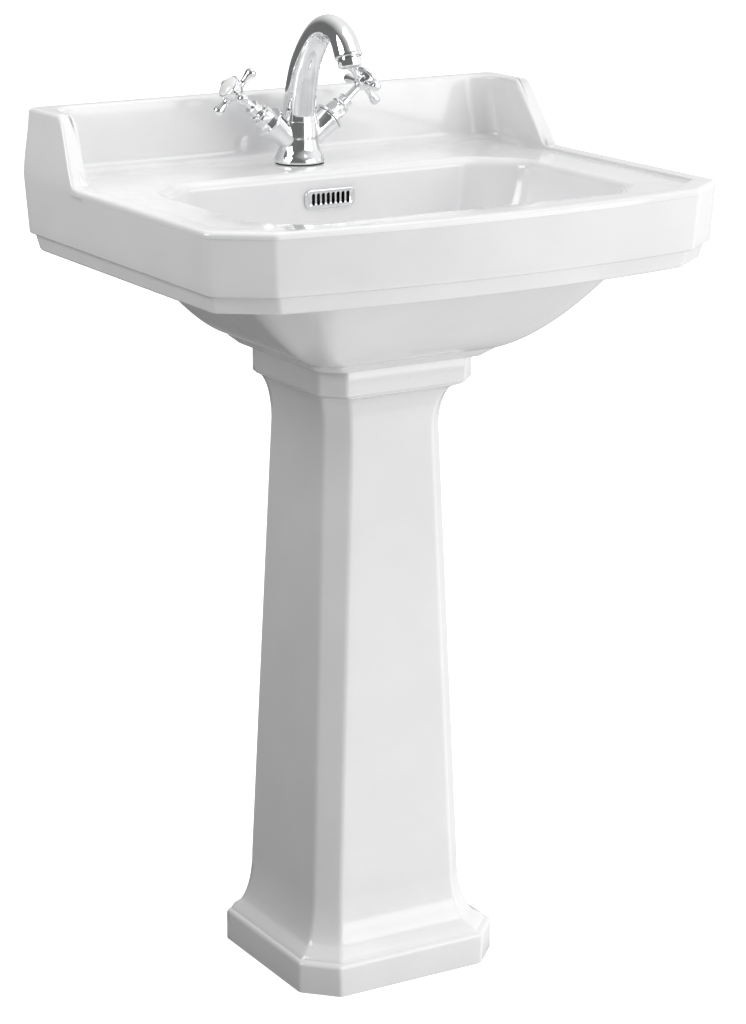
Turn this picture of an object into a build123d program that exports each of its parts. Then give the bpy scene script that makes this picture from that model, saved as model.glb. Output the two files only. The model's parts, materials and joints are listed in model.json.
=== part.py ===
from build123d import *
from math import cos, radians, sin, sqrt
import os

# Traditional pedestal washbasin with a one-hole, cross-head mixer tap.
#
# Frame: origin on the floor below the middle of the basin, +X to the user's right,
# -Y towards the user, +Z up.  The wall face is at y = wall_y.  Distances that start at the
# wall are turned into y by out().  Everything is in millimetres.

os.makedirs("parts", exist_ok=True)

# ---------------------------------------------------------------- driving dimensions
# Basin, plan
basin_width = 602.0
side_depth = 463.5        # wall to the front corners of the rim
front_bow = 21.0          # the middle of the front stands this far proud of its corners
corner_x = 53.5           # front corner cut, along X
corner_y = 40.5           # front corner cut, along Y
shell = 12.0              # thickness of the apron, the deck, the back and the bowl

# Basin, heights
foot_z = 693.5            # underside of the foot, resting on the pedestal
bowl_foot_z = 702.0       # top of the foot
band_z = 796.5            # lower edge of the apron
apron_z = 815.0           # step between the apron and its lower band
deck_z = 875.0            # tap deck
rim_z = 879.0             # raised border round the deck
splash_z = 949.0          # top of the upstand

# Basin, details
apron_draft = 3.5         # the apron leans in by this much, from the rim down to its step
apron_step = 4.8
band_taper = 2.8
border = 19.0             # width of the raised border and of the upstand's walls
splash_lean = 8.4         # each end of the upstand leans in by this much
return_top = 82.0         # how far the upstand's ends run out from the wall, at the top
return_foot = 127.0       # the same at the rim
inner_corner_r = 32.0     # plan radius inside the upstand's corners
edge_r = 5.0              # rounding of the rim and the upstand

# Eight-sided plans: half width, back and front (from the wall), then the three corner cuts
# along X, along Y at the back and along Y at the front
bowl_rim = (222.0, 134.0, 415.0, 47.0, 47.0, 47.0)
bowl_floor = (150.0, 160.0, 352.0, 30.0, 30.0, 30.0)
bowl_floor_z = 745.0
wall_curve = 0.84         # how far the bowl's walls have curved over at the floor, at most 1
foot_low = (104.0, 110.0, 307.0, 20.0, 8.0, 22.0)
foot_top = (112.0, 100.0, 317.0, 20.0, 8.0, 22.0)
underside_low = (108.0, 100.0, 314.0, 16.0, 8.0, 22.0)
underside_top = (226.0, 100.0, 424.0, corner_x, 30.0, corner_y)
spread_power = 0.7        # below 1, the underside spreads early and then rises steeply

# Openings in the basin
waste_out = 215.0         # wall to the waste
waste_hole_r = 22.5
waste_seat_z = 737.0
waste_seat_r = 34.0
tap_out = 70.0            # wall to the tap
tap_hole_r = 17.5
fixing_spacing = 280.0    # wall bolts
fixing_hole_r = 7.0
fixing_z = 832.0
overflow_z = 845.5
overflow_w = 52.0
overflow_h = 14.0
duct_near, duct_far = 124.0, 112.0    # overflow channel behind the bowl, from the wall
duct_low_z = 716.0
duct_outlet_w, duct_outlet_h = 18.0, 10.0    # from the channel's foot into the waste
core_z = 742.0            # the cast core between the bowl's two walls reaches down to here

# Pedestal
pedestal_wall = 13.0
capital_z = 664.0
shaft_top_z = 610.0
shaft_foot_z = 103.0
plinth_z = 34.0
plinth_slope_z = 46.0
pedestal_corner = 22.0
capital_half, capital_back, capital_front = 94.5, 129.5, 297.5
shaft_top_half, shaft_top_back, shaft_top_front = 72.0, 129.5, 268.0
shaft_foot_half, shaft_foot_back, shaft_foot_front = 93.0, 114.0, 279.5
plinth_half, plinth_back, plinth_front, plinth_corner = 124.0, 109.5, 313.0, 33.5
floor_screw_spacing = 190.0
floor_screw_out = 130.0
floor_screw_r = 4.0
lug_size, lug_height = 34.0, 12.0

# Tap
arm_angle = 40.0          # the two valve arms rise at this angle
arm_z = deck_z + 16.0     # where their axes meet the tap's axis
arm_end = 48.0            # end face of each arm, along its axis
gasket_t = 1.2
tap_foot_r = 28.0
spindle_r = 4.2
spindle_fit = 0.05        # running clearance round each spindle
cartridge_r = 9.0
handle_at = 104.0         # middle of the cross along the arm's axis
handle_reach = 25.5       # arm axis to the middle of a lobe's ball
lobe_turn = {"hot": 77.0, "cold": 4.0}    # how each cross stands, degrees
spout_tip_out = 177.0
spout_tip_z = 1000.5
aerator_r = 12.7
aerator_drop = 11.0
tail_r, tail_bore_r = 5.0, 4.0
tail_half_gap = 9.0
tail_out = tap_out - 3
tail_bead = 1.2           # height of the bead above each supply fitting
tail_nut_r, tail_nut_t = 8.6, 12.0
bead_t = 2.0
tail_end_z = 635.0
tail_plain = 12.0         # plain end below each tail's bead, for the supply fitting
stud_r = 4.0
stud_out = tap_out + 9

# Waste and trap
waste_thread_r = 20.9
waste_bore_r = 17.0
waste_end_z = 640.0
trap_r = 30.0
cup_r = 33.0
trap_outlet_z = 604.0
pipe_r = 16.0
pipe_end_out = 80.0       # the outlet pipe stops this far short of the wall
pipe_plain = 60.0         # plain end of the pipe, up to its bead
plug_travel = 8.0

wall_y = (side_depth + front_bow) / 2


# ---------------------------------------------------------------- helpers
def out(distance):
    """The y of a point this far out from the wall."""
    return wall_y - distance


def lerp(a, b, t):
    return a + (b - a) * t


def save(builder, name):
    builder.part.label = name
    export_step(builder.part, f"parts/{name}.step")


def upright(x, distance, z):
    """A plane that faces up, at a point this far out from the wall."""
    return Plane(origin=(x, out(distance), z))


def basin_plan(inset, back_inset):
    """Outline of the basin from above: straight back, cut corners and a bowed front."""
    half = basin_width / 2 - inset
    front = out(side_depth - inset)
    back = out(back_inset)
    left, right = (-half + corner_x, front), (half - corner_x, front)
    with BuildSketch() as plan:
        with BuildLine():
            Polyline(right, (half, front + corner_y), (half, back),
                     (-half, back), (-half, front + corner_y), left)
            ThreePointArc(left, (0, front - front_bow), right)
        make_face()
    return plan.sketch


def eight_sided(shape, grow=0.0):
    """Rectangle with four cut corners, grown by this much all round."""
    half, back_out, front_out, cut_x, cut_back, cut_front = shape
    half, near, far = half + grow, out(front_out + grow), out(back_out - grow)
    with BuildSketch() as plan:
        with BuildLine():
            Polyline((-half, near + cut_front), (-half + cut_x, near),
                     (half - cut_x, near), (half, near + cut_front),
                     (half, far - cut_back), (half - cut_x, far),
                     (-half + cut_x, far), (-half, far - cut_back), close=True)
        make_face()
    return plan.sketch


def pedestal_plan(half, back, front, cut):
    """Pedestal outline: square at the back, cut corners at the front."""
    near, far = out(front), out(back)
    with BuildSketch() as plan:
        with BuildLine():
            Polyline((-half, far), (-half, near + cut), (-half + cut, near),
                     (half - cut, near), (half, near + cut), (half, far), close=True)
        make_face()
    return plan.sketch


def ring(plane, outer_r, length, inner_r=0.0):
    """A round disc, bar or tube that starts at a plane and runs along its normal."""
    with BuildPart() as bar:
        with BuildSketch(plane):
            Circle(outer_r)
            if inner_r:
                Circle(inner_r, mode=Mode.SUBTRACT)
        extrude(amount=length)
    return bar.part


def hexagon_nut(plane, across_corners_r, length, bore_r):
    with BuildPart() as nut:
        with BuildSketch(plane):
            RegularPolygon(across_corners_r, 6)
            Circle(bore_r, mode=Mode.SUBTRACT)
        extrude(amount=length)
    return nut.part


# ---------------------------------------------------------------- basin
def blend(low, high, amount):
    return [lerp(a, b, amount) for a, b in zip(low, high)]


def underside_section(z, grow=0.0):
    """Bowl's outside, from its foot up to the band."""
    t = (z - bowl_foot_z) / (band_z - bowl_foot_z)
    return eight_sided(blend(underside_low, underside_top, t ** spread_power), grow)


def bowl_section(z, grow=0.0):
    """Bowl's inside, from the deck down to its floor."""
    t = (deck_z - z) / (deck_z - bowl_floor_z)
    inward = (1 - sqrt(1 - wall_curve * t * t)) / (1 - sqrt(1 - wall_curve))
    return eight_sided(blend(bowl_rim, bowl_floor, inward), grow)


def loft_levels(section, low, high, grow=0.0, count=6):
    """Loft through sections of a shape that depends on its height."""
    with BuildPart() as body:
        for step in range(count):
            z = lerp(low, high, step / (count - 1))
            with BuildSketch(Plane.XY.offset(z)):
                add(section(z, grow))
        loft()
    return body.part


def upstand():
    """Back wall and two sloped ends of the upstand, standing on the basin's rim."""
    half_low = basin_width / 2
    half_high = half_low - splash_lean
    with BuildPart() as wall:
        with BuildSketch(Plane.XZ.offset(-wall_y)):
            with BuildLine():
                Polyline((-half_low, rim_z), (half_low, rim_z), (half_high, splash_z),
                         (-half_high, splash_z), close=True)
            make_face()
        extrude(amount=return_foot)
        with BuildSketch(Plane.YZ.offset(-half_low)):
            with BuildLine():
                Polyline((out(return_top), splash_z), (out(return_foot), rim_z),
                         (out(return_foot + border), rim_z),
                         (out(return_foot + border), splash_z), close=True)
            make_face()
        extrude(amount=basin_width, mode=Mode.SUBTRACT)
        fillet(wall.edges().filter_by(Axis.X, reverse=True)
               .group_by(Axis.Z)[-1].filter_by(Axis.Y), edge_r)
        for level, half in ((rim_z, half_low), (splash_z, half_high)):
            with BuildSketch(Plane.XY.offset(level)) as between_ends:
                with Locations((0, out(border))):
                    Rectangle(2 * (half - border), 2 * return_foot,
                              align=(Align.CENTER, Align.MAX))
                fillet(between_ends.vertices().group_by(Axis.Y)[-1], inner_corner_r)
        loft(mode=Mode.SUBTRACT)
    return wall.part


with BuildPart() as basin:
    # Apron, with its stepped lower band, from the rim down
    for level, inset in ((apron_z, apron_draft), (rim_z, 0)):
        with BuildSketch(Plane.XY.offset(level)):
            add(basin_plan(inset, 0))
    loft()
    fillet(basin.edges().group_by(Axis.Z)[-1].filter_by(lambda e: e.center().Y < out(5)), edge_r)
    for level, step in ((band_z, apron_step + band_taper), (apron_z, apron_step)):
        with BuildSketch(Plane.XY.offset(level)):
            add(basin_plan(apron_draft + step, 0))
    loft()
    # Hollow below the deck, open from underneath
    with BuildSketch(Plane.XY.offset(band_z)):
        add(basin_plan(shell + apron_draft + apron_step, shell))
    extrude(amount=deck_z - shell - band_z, mode=Mode.SUBTRACT)
    # Bowl's outside: foot, spreading underside, then straight up to the deck
    for level, shape in ((foot_z, foot_low), (bowl_foot_z, foot_top)):
        with BuildSketch(Plane.XY.offset(level)):
            add(eight_sided(shape))
    loft()
    add(loft_levels(underside_section, bowl_foot_z, band_z))
    # Cast core, open into the hollow below the deck, then the bowl's own walls through it
    add(loft_levels(underside_section, core_z, band_z, grow=-shell), mode=Mode.SUBTRACT)
    add(loft_levels(bowl_section, bowl_floor_z, deck_z - shell, grow=shell))
    with BuildSketch(Plane.XY.offset(core_z)):
        add(bowl_section(bowl_floor_z, grow=shell))
    extrude(amount=bowl_floor_z - core_z)
    # Casing of the overflow channel, from the bowl's wall back
    with BuildSketch(upright(0, duct_far - shell, core_z)):
        Rectangle(overflow_w + 2 * shell, bowl_floor[1] - duct_far + shell,
                  align=(Align.CENTER, Align.MAX))
    extrude(amount=deck_z - shell - core_z)
    # Upstand, and the deck sunk between the raised borders
    add(upstand())
    with BuildSketch(Plane.XY.offset(deck_z)) as sunk_deck:
        add(basin_plan(border, border))
        fillet(sunk_deck.vertices().group_by(Axis.Y)[-1], inner_corner_r)
    extrude(amount=rim_z - deck_z, mode=Mode.SUBTRACT)
    # Bowl's inside
    add(loft_levels(bowl_section, bowl_floor_z, deck_z), mode=Mode.SUBTRACT)
    with BuildSketch(Plane.XY.offset(bowl_floor_z)):
        add(bowl_section(bowl_floor_z))
    with BuildSketch(Plane.XY.offset(waste_seat_z)):
        add(eight_sided((waste_seat_r, waste_out - waste_seat_r, waste_out + waste_seat_r,
                         *[waste_seat_r * (2 - sqrt(2))] * 3)))
    loft(mode=Mode.SUBTRACT)
    # Waste, tap and wall bolt holes
    with BuildSketch(upright(0, waste_out, foot_z)):
        Circle(waste_hole_r)
    extrude(amount=waste_seat_z - foot_z, mode=Mode.SUBTRACT)
    with BuildSketch(upright(0, tap_out, deck_z - shell)):
        Circle(tap_hole_r)
    extrude(amount=shell, mode=Mode.SUBTRACT)
    with BuildSketch(Plane.XZ.offset(-wall_y)):
        with Locations((0, fixing_z)):
            with GridLocations(fixing_spacing, 0, 2, 1):
                Circle(fixing_hole_r)
    extrude(amount=shell, mode=Mode.SUBTRACT)
    # Overflow: mouth in the bowl's back wall, channel down behind it, and into the waste
    with BuildSketch(Plane.XZ.offset(-out(duct_near))):
        with Locations((0, overflow_z)):
            Rectangle(overflow_w, overflow_h)
    extrude(amount=bowl_floor[1] - duct_near, mode=Mode.SUBTRACT)
    with BuildSketch(Plane.XY.offset(duct_low_z)):
        with Locations((0, (out(duct_near) + out(duct_far)) / 2)):
            Rectangle(overflow_w, duct_near - duct_far)
    extrude(amount=overflow_z + overflow_h / 2 - duct_low_z, mode=Mode.SUBTRACT)
    with BuildSketch(Plane.XZ.offset(-out(duct_far))):
        with Locations((0, duct_low_z + duct_outlet_h / 2)):
            Rectangle(duct_outlet_w, duct_outlet_h)
    extrude(amount=waste_out - duct_far, mode=Mode.SUBTRACT)
save(basin, "basin")


# ---------------------------------------------------------------- pedestal
def cove(t):
    """Quarter of an ellipse: 1 and level at t = 0, 0 and upright at t = 1."""
    return 1 - sqrt(1 - (1 - t) ** 2)


def pedestal_stages():
    """Groups of levels to loft, each level a height, half width, back, front and cut."""
    top = (shaft_top_half, shaft_top_back, shaft_top_front)
    low = (shaft_foot_half, shaft_foot_back, shaft_foot_front)
    under_capital = (capital_half - 3, capital_back, capital_front - 3)
    over_plinth = (plinth_half - 7, plinth_back, plinth_front - 7)
    capital = (capital_half, capital_back, capital_front, pedestal_corner)
    plinth = (plinth_half, plinth_back, plinth_front, plinth_corner)

    upper_cove, lower_cove = [], []
    for step in range(5):
        t = step / 4
        size = [lerp(a, b, cove(t)) for a, b in zip(top, under_capital)]
        upper_cove.append((lerp(capital_z, shaft_top_z, t), *size, pedestal_corner))
        size = [lerp(a, b, cove(1 - t)) for a, b in zip(low, over_plinth)]
        cut = lerp(pedestal_corner, plinth_corner - 4, cove(1 - t))
        lower_cove.append((lerp(shaft_foot_z, plinth_slope_z, t), *size, cut))
    yield [(foot_z, *capital), (capital_z, *capital)]
    yield upper_cove
    yield [upper_cove[-1], lower_cove[0]]
    yield lower_cove
    yield [lower_cove[-1], (plinth_z, *plinth)]
    yield [(plinth_z, *plinth), (0, *plinth)]


def pedestal_solid(inset=0.0, back_gap=0.0):
    """The pedestal's shape; inset draws its sides in and back_gap runs it out behind."""
    with BuildPart() as body:
        for stage in pedestal_stages():
            for z, half, back, front, cut in stage:
                with BuildSketch(Plane.XY.offset(z)):
                    add(pedestal_plan(half - inset, back - back_gap, front - inset, cut))
            loft()
    return body.part


with BuildPart() as pedestal:
    add(pedestal_solid())
    add(pedestal_solid(inset=pedestal_wall, back_gap=capital_back), mode=Mode.SUBTRACT)
    # Lugs inside the back of the foot, for the floor screws
    with BuildSketch():
        with Locations((0, out(floor_screw_out))):
            with GridLocations(floor_screw_spacing, 0, 2, 1):
                Rectangle(lug_size, lug_size)
                Circle(floor_screw_r, mode=Mode.SUBTRACT)
    extrude(amount=lug_height)
save(pedestal, "pedestal")


# ---------------------------------------------------------------- tap
def arm(side, along):
    """A plane square to one valve arm, this far along its axis; side is -1 or 1."""
    across, up = cos(radians(arm_angle)), sin(radians(arm_angle))
    return Plane(origin=(side * along * across, out(tap_out), arm_z + along * up),
                 x_dir=(0, 1, 0), z_dir=(side * across, 0, up))


with BuildPart() as tap_gasket:
    add(ring(upright(0, tap_out, deck_z), tap_foot_r - 1.5, gasket_t, tap_hole_r))
save(tap_gasket, "tap_gasket")

tap_foot_z = deck_z + gasket_t
socket_depth = 9.0        # of the tails and the stud in the foot
cartridge_length = 26.0
passage_r, column_r = 4.0, 7.0
spout_root_z = deck_z + 47.0
spout_root_r = 19.5
waist_r, shoulder_r = 21.2, 20.6
arm_radii = ((6.0, 13.0), (24.0, 13.5), (38.0, 15.0), (arm_end, 16.0))    # distance, radius

with BuildPart() as tap_body:
    # Foot, waist and shoulders turned about the tap's axis
    with BuildSketch(Plane.XZ.offset(-out(tap_out))):
        with BuildLine():
            foot = Line((0, tap_foot_z), (tap_foot_r, tap_foot_z))
            rim = Line(foot @ 1, (tap_foot_r - 0.5, tap_foot_z + 3.5))
            waist = Spline(rim @ 1, (waist_r, arm_z + 1), (shoulder_r, arm_z + 18),
                           tangents=((-0.7, 1), (-0.05, 1)))
            crown = Spline(waist @ 1, (spout_root_r, spout_root_z),
                           tangents=((-0.05, 1), (-0.2, 1)))
            Polyline(crown @ 1, (0, spout_root_z), foot @ 0)
        make_face()
    revolve(axis=Axis((0, out(tap_out), 0), (0, 0, 1)))
    # Flared arms
    for side in (-1, 1):
        for along, radius in arm_radii:
            with BuildSketch(arm(side, along)):
                Circle(radius)
        loft()
    # Seat for the spout between the shoulders
    with BuildSketch(upright(0, tap_out, spout_root_z)):
        Circle(spout_root_r)
    extrude(amount=spout_root_r, mode=Mode.SUBTRACT)
    # Valve sockets, with the passages into the column
    for side in (-1, 1):
        with BuildSketch(arm(side, arm_end)):
            Circle(cartridge_r)
        extrude(amount=-cartridge_length, mode=Mode.SUBTRACT)
        with BuildSketch(arm(side, arm_end - cartridge_length)):
            Circle(passage_r)
        extrude(amount=-(arm_end - cartridge_length), mode=Mode.SUBTRACT)
    with BuildSketch(upright(0, tap_out, arm_z - passage_r)):
        Circle(column_r)
    extrude(amount=spout_root_z - arm_z + passage_r, mode=Mode.SUBTRACT)
    # Sockets below for the supply tails and the stud
    for x, distance, radius in ((-tail_half_gap, tail_out, tail_r),
                                (tail_half_gap, tail_out, tail_r), (0, stud_out, stud_r)):
        with BuildSketch(upright(x, distance, tap_foot_z)):
            Circle(radius)
        extrude(amount=socket_depth, mode=Mode.SUBTRACT)
save(tap_body, "tap_body")

# Spout: a swan neck that thins towards its top
neck_r, spout_tip_r = 13.0, 14.8
spout_wall = 4.5
neck_at = 0.7             # where along the spout it is thinnest
with BuildLine(Plane.YZ) as spout_path:
    Spline((out(tap_out), spout_root_z), (out(75), spout_root_z + 35),
           (out(101), deck_z + 133), (out(137), deck_z + 154.5),
           (out(166), deck_z + 143), (out(spout_tip_out), spout_tip_z),
           tangents=((0, 1), (-0.32, -1)))


def spout_radius(t):
    """Thins from the root to just past the top, then swells a little to the tip."""
    if t < neck_at:
        return lerp(spout_root_r, neck_r, t / neck_at)
    return lerp(neck_r, spout_tip_r, (t - neck_at) / (1 - neck_at))


def swept(path, thinner=0.0):
    """Loft through circles along the spout's path, each smaller by this much."""
    with BuildPart() as body:
        for step in range(9):
            t = step / 8
            with BuildSketch(Plane(origin=path @ t, z_dir=path % t)):
                Circle(spout_radius(t) - thinner)
        loft()
    return body.part


neck = spout_path.line
with BuildPart() as spout:
    add(swept(neck))
    add(swept(neck, spout_wall), mode=Mode.SUBTRACT)
save(spout, "spout")

tip_plane = Plane(origin=neck @ 1, z_dir=neck % 1)
insert_r, insert_recess = 9.0, 2.5
insert_holes, insert_hole_r, insert_hole_ring = 8, 1.2, 5.5
with BuildPart() as aerator_housing:
    add(ring(tip_plane, aerator_r, aerator_drop, insert_r))
    chamfer(aerator_housing.edges().group_by(Axis.Z)[0], 0.8)
save(aerator_housing, "aerator_housing")

with BuildPart() as aerator_insert:
    with BuildSketch(tip_plane):
        Circle(insert_r)
        with PolarLocations(insert_hole_ring, insert_holes):
            Circle(insert_hole_r, mode=Mode.SUBTRACT)
    extrude(amount=aerator_drop - insert_recess)
save(aerator_insert, "aerator_insert")


# ---------------------------------------------------------------- valves and handles
flange_r, flange_t = 18.0, 3.0
bonnet_hex_r, bonnet_hex_t = 12.5, 15.0
bonnet_low_r, bonnet_top_r = 9.0, 7.5
bonnet_end = handle_at - 26
cartridge_floor = 10.0    # solid bottom of the cartridge
spindle_entry = 15.0      # depth of the spindle's foot in the cartridge
hub_start, hub_end = handle_at - 8, handle_at + 8
hub_radii = ((hub_start, 6.0), (hub_start + 3.5, 8.8), (hub_end, 9.5))    # distance, radius
lobe_bar_r, lobe_ball_r = 4.2, 6.0
screw_r, screw_head_r, screw_head_t = 1.6, 3.2, 2.5
screw_web = 3.0           # metal of the hub under the screw's head
cap_seat_r, cap_seat_depth = 6.0, 6.0
cap_plug_t = 3.0          # part of the cap that sits in the hub
cap_radii = ((1.5, 14.0), (4.0, 12.3), (6.5, 7.6), (7.5, 2.9))    # height over the hub, radius
spindle_end = hub_end - cap_seat_depth - screw_web
screw_length = 11.0

for side, name in ((-1, "hot"), (1, "cold")):
    with BuildPart() as cartridge:
        add(ring(arm(side, arm_end - cartridge_length), cartridge_r, cartridge_length,
                 spindle_r + spindle_fit))
        add(ring(arm(side, arm_end - cartridge_length), cartridge_r, cartridge_floor))
    save(cartridge, f"{name}_valve_cartridge")

    with BuildPart() as bonnet:
        add(ring(arm(side, arm_end), flange_r, flange_t))
        with BuildSketch(arm(side, arm_end + flange_t)):
            RegularPolygon(bonnet_hex_r, 6)
        extrude(amount=bonnet_hex_t)
        with BuildSketch(arm(side, arm_end + flange_t + bonnet_hex_t)):
            Circle(bonnet_low_r)
        with BuildSketch(arm(side, bonnet_end)):
            Circle(bonnet_top_r)
        loft()
        add(ring(arm(side, arm_end), spindle_r + spindle_fit, bonnet_end - arm_end),
            mode=Mode.SUBTRACT)
    save(bonnet, f"{name}_valve_bonnet")

    with BuildPart() as spindle:
        add(ring(arm(side, arm_end - spindle_entry), spindle_r,
                 spindle_end - arm_end + spindle_entry))
        add(ring(arm(side, hub_end - cap_seat_depth - screw_length), screw_r, screw_length),
            mode=Mode.SUBTRACT)
    save(spindle, f"{name}_spindle")

    with BuildPart() as handle:
        # Hub, waisted below the cross
        for along, radius in hub_radii:
            with BuildSketch(arm(side, along)):
                Circle(radius)
        loft(ruled=True)
        # Four lobes, each a bar with a ball on its end
        cross = arm(side, handle_at)
        for quarter in range(4):
            turn = radians(lobe_turn[name] + 90 * quarter)
            lobe = Plane(origin=cross.origin,
                         z_dir=cross.x_dir * cos(turn) + cross.y_dir * sin(turn))
            add(ring(lobe, lobe_bar_r, handle_reach))
            with Locations(lobe.offset(handle_reach)):
                Sphere(lobe_ball_r)
        # Spindle's socket, the screw's hole and the cap's seat
        add(ring(arm(side, hub_start), spindle_r, spindle_end - hub_start), mode=Mode.SUBTRACT)
        add(ring(arm(side, spindle_end), screw_r, screw_web), mode=Mode.SUBTRACT)
        add(ring(arm(side, hub_end - cap_seat_depth), cap_seat_r, cap_seat_depth),
            mode=Mode.SUBTRACT)
    save(handle, f"{name}_handle")

    with BuildPart() as screw:
        add(ring(arm(side, hub_end - cap_seat_depth - screw_length), screw_r, screw_length))
        add(ring(arm(side, hub_end - cap_seat_depth), screw_head_r, screw_head_t))
    save(screw, f"{name}_handle_screw")

    with BuildPart() as index_cap:
        add(ring(arm(side, hub_end - cap_plug_t), cap_seat_r, cap_plug_t))
        add(ring(arm(side, hub_end), cap_radii[0][1], cap_radii[0][0]))
        for height, radius in cap_radii:
            with BuildSketch(arm(side, hub_end + height)):
                Circle(radius)
        loft(ruled=True)
    save(index_cap, f"{name}_index_cap")

    tail_plane = upright(side * tail_half_gap, tail_out, tail_end_z)
    with BuildPart() as tail:
        add(ring(tail_plane, tail_r, tap_foot_z + socket_depth - tail_end_z, tail_bore_r))
        add(ring(tail_plane.offset(tail_plain), tail_r + tail_bead, bead_t, tail_bore_r))
    save(tail, f"{name}_supply_tail")

with BuildPart() as tail_nuts:
    for side in (-1, 1):
        plane = upright(side * tail_half_gap, tail_out, tail_end_z + tail_plain + bead_t)
        add(hexagon_nut(plane, tail_nut_r, tail_nut_t, tail_r))
save(tail_nuts, "supply_tail_nuts")


# ---------------------------------------------------------------- tap fixing, below the deck
deck_under_z = deck_z - shell
clamp_r = 25.0
clamp_gap_w, clamp_gap_out = 30.0, 4.0    # slot for the tails; its floor from the tap's axis
clamp_rubber_t, clamp_plate_t = 3.0, 3.0
stud_nut_r, stud_nut_t = 7.5, 7.0
stud_hang = 30.0          # the stud reaches this far below the deck


def horseshoe(z, thickness):
    """Washer round the stud, open at the back so that it slips past the tails."""
    with BuildPart() as washer:
        with BuildSketch(upright(0, tap_out, z)):
            Circle(clamp_r)
            with Locations((0, -clamp_gap_out)):
                Rectangle(clamp_gap_w, 2 * clamp_r, align=(Align.CENTER, Align.MIN),
                          mode=Mode.SUBTRACT)
            with Locations((0, tap_out - stud_out)):
                Circle(stud_r, mode=Mode.SUBTRACT)
        extrude(amount=thickness)
    return washer.part


with BuildPart() as tap_stud:
    add(ring(upright(0, stud_out, deck_under_z - stud_hang), stud_r,
             tap_foot_z + socket_depth - deck_under_z + stud_hang))
save(tap_stud, "tap_stud")

with BuildPart() as clamp_rubber:
    add(horseshoe(deck_under_z - clamp_rubber_t, clamp_rubber_t))
save(clamp_rubber, "tap_clamp_rubber")

clamp_z = deck_under_z - clamp_rubber_t - clamp_plate_t
with BuildPart() as clamp_plate:
    add(horseshoe(clamp_z, clamp_plate_t))
save(clamp_plate, "tap_clamp_plate")

with BuildPart() as stud_nut:
    add(hexagon_nut(upright(0, stud_out, clamp_z - stud_nut_t), stud_nut_r, stud_nut_t, stud_r))
save(stud_nut, "tap_stud_nut")


# ---------------------------------------------------------------- overflow
wall_face_out = 136.0      # the bowl's back wall where the grille sits
grille_w, grille_h, grille_t = 62.0, 20.8, 2.6
grille_corner_r, grille_edge_r = 6.5, 1.2
grille_slots, slot_pitch, slot_w, slot_h = 8, 6.1, 4.0, 13.0
sleeve_t = 1.5

with BuildPart() as overflow_sleeve:
    with BuildSketch(Plane.XZ.offset(-out(duct_near))):
        with Locations((0, overflow_z)):
            Rectangle(overflow_w, overflow_h)
            Rectangle(overflow_w - 2 * sleeve_t, overflow_h - 2 * sleeve_t,
                      mode=Mode.SUBTRACT)
    extrude(amount=wall_face_out - duct_near)
save(overflow_sleeve, "overflow_sleeve")

with BuildPart() as overflow_grille:
    with BuildSketch(Plane.XZ.offset(-out(wall_face_out))):
        with Locations((0, overflow_z)):
            RectangleRounded(grille_w, grille_h, grille_corner_r)
            with GridLocations(slot_pitch, 0, grille_slots, 1):
                SlotOverall(slot_h, slot_w, rotation=90, mode=Mode.SUBTRACT)
    extrude(amount=grille_t)
    fillet(overflow_grille.faces().sort_by(Axis.Y)[0].outer_wire().edges(), grille_edge_r)
save(overflow_grille, "overflow_grille")


# ---------------------------------------------------------------- waste
seal_r, seal_t = 30.0, 1.5
flange_out_r = 32.0
flange_top_z = waste_seat_z + 4.0
waste_lip = 1.8           # bevel round the mouth of the waste
inlet_slot_w = 12.0       # slots that let the overflow in, level with its outlet
socket_low_z, socket_high_z = 700.0, 710.0
socket_r, socket_wall, spider_t = 8.0, 2.0, 3.0
latch_low_z, latch_length, latch_floor = 688.0, 34.0, 5.0
stem_r = 4.0
stem_low_z = 706.0
plug_seat_r, plug_r = 25.5, 26.5
plug_gap = 0.3            # under the plug when it is down
plug_crown = 6.8
under_washer_r, under_washer_t = 31.0, 4.0
backnut_r, backnut_t = 33.0, 9.0

with BuildPart() as waste_seal:
    add(ring(upright(0, waste_out, waste_seat_z), seal_r, seal_t, waste_thread_r))
save(waste_seal, "waste_seal")

with BuildPart() as waste_body:
    add(ring(upright(0, waste_out, waste_end_z), waste_thread_r,
             flange_top_z - waste_end_z, waste_bore_r))
    add(ring(upright(0, waste_out, waste_seat_z + seal_t), flange_out_r,
             flange_top_z - waste_seat_z - seal_t, waste_bore_r))
    chamfer(waste_body.edges().filter_by(GeomType.CIRCLE).group_by(Axis.Z)[-1]
            .sort_by(SortBy.RADIUS)[0], waste_lip)
    # Slots that let the overflow in
    with BuildSketch(upright(0, waste_out, duct_low_z)):
        Rectangle(inlet_slot_w, 2.4 * waste_thread_r)
    extrude(amount=duct_outlet_h, mode=Mode.SUBTRACT)
    # Spider that carries the plug's socket
    with BuildSketch(upright(0, waste_out, socket_low_z)):
        with PolarLocations(0, 3):
            Rectangle(waste_bore_r + 1, spider_t, align=(Align.MIN, Align.CENTER))
        Circle(socket_r + socket_wall)
        Circle(socket_r, mode=Mode.SUBTRACT)
    extrude(amount=socket_high_z - socket_low_z)
save(waste_body, "waste_body")

with BuildPart() as plug_latch:
    add(ring(upright(0, waste_out, latch_low_z), socket_r, latch_length, stem_r + spindle_fit))
    add(ring(upright(0, waste_out, latch_low_z), socket_r, latch_floor))
save(plug_latch, "plug_latch")

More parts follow.
